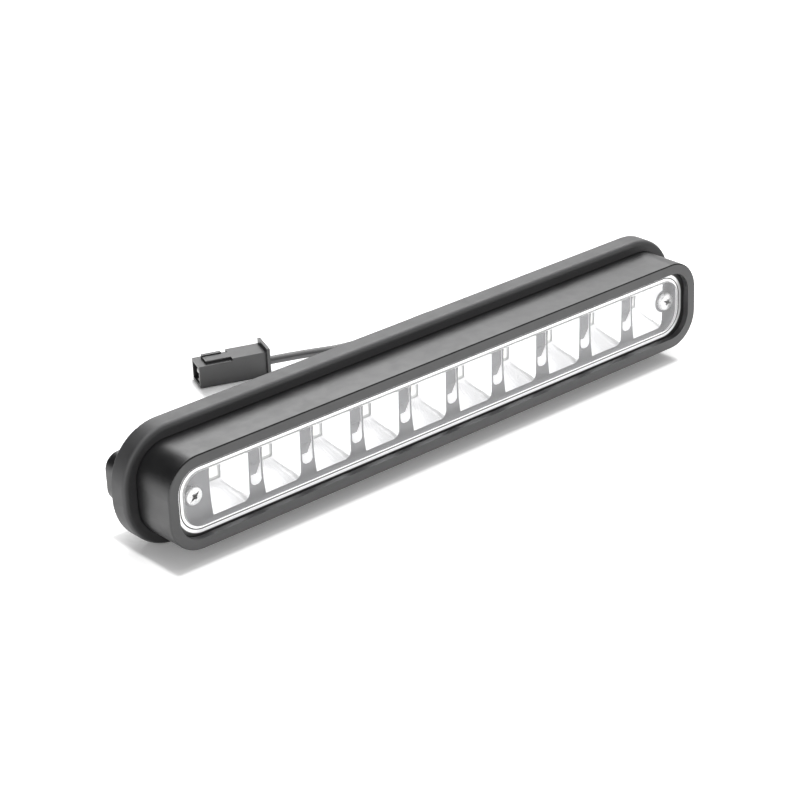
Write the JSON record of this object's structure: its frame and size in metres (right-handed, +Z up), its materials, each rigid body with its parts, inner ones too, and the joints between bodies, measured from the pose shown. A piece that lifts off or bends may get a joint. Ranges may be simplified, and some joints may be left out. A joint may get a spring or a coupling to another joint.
{
  "type": "side light bar",
  "caption": "Long rounded lamp with a row of reflector cells behind one clear lens, a thick rubber gasket, rear studs and a short lead that ends in a two-way connector.",
  "frame": {"origin": "middle of the gasket's rear face, the face that meets the vehicle's panel; it is also the middle of the lamp's bounding box from the front rim to the stud tips", "axes": "+X along the lamp towards its right end seen from the front, +Y from the front to the rear and along the studs, +Z up"},
  "size_m": [0.3012, 0.138, 0.051],
  "materials": {
    "housing_black": "satin black powder coat on a casting",
    "lens_clear": "clear polished",
    "sealant": "matt",
    "reflector_bright": "bright metallised moulding",
    "screw_steel": "bright zinc plated",
    "board_white": "white solder mask on a metal core",
    "led_package": "clear dome over phosphor",
    "pad_grey": "matt",
    "gasket_rubber": "satin",
    "stud_steel": "zinc plated",
    "sheet_cream": "matt",
    "board_green": "green solder mask",
    "ferrite": "matt ferrite",
    "chip_black": "matt",
    "capacitor_can": "bright",
    "sleeve_white": "matt",
    "contact_tin": "tin plated",
    "gland_black": "satin",
    "cable_jacket": "satin",
    "wire_black": "gloss",
    "wire_red": "gloss",
    "connector_black": "satin"
  },
  "bodies": {
    "root": {"housing": "housing_black", "lens": "lens_clear", "lens_seal": "sealant", "reflector": "reflector_bright", "reflector_screw_left": "screw_steel", "reflector_screw_right": "screw_steel", "led_board": "board_white", "led_01": "led_package", "led_02": "led_package", "led_03": "led_package", "led_04": "led_package", "led_05": "led_package", "led_06": "led_package", "led_07": "led_package", "led_08": "led_package", "led_09": "led_package", "led_10": "led_package", "thermal_pad": "pad_grey", "heat_sink": "housing_black", "housing_screws": "screw_steel", "mounting_gasket": "gasket_rubber", "stud_left": "stud_steel", "stud_right": "stud_steel", "driver_lid": "housing_black", "lid_seal": "gasket_rubber", "lid_screws": "screw_steel", "driver_sheet": "sheet_cream", "driver_board": "board_green", "driver_choke": "ferrite", "driver_chip": "chip_black", "driver_capacitor_1": "capacitor_can", "driver_capacitor_2": "capacitor_can", "driver_capacitor_3": "capacitor_can", "feed_sleeve": "sleeve_white", "feed_pin_lower": "contact_tin", "feed_pin_upper": "contact_tin", "vent_plug": "gland_black", "gland_body": "gland_black", "gland_nut": "gland_black", "gland_lock_nut": "gland_black", "gland_insert": "cable_jacket", "lead_wire_lower": "wire_black", "lead_wire_upper": "wire_red", "lead": "cable_jacket", "connector_shell": "connector_black", "connector_blade_lower": "contact_tin", "connector_blade_upper": "contact_tin", "connector_insert": "cable_jacket"}
  },
  "joints": []
}
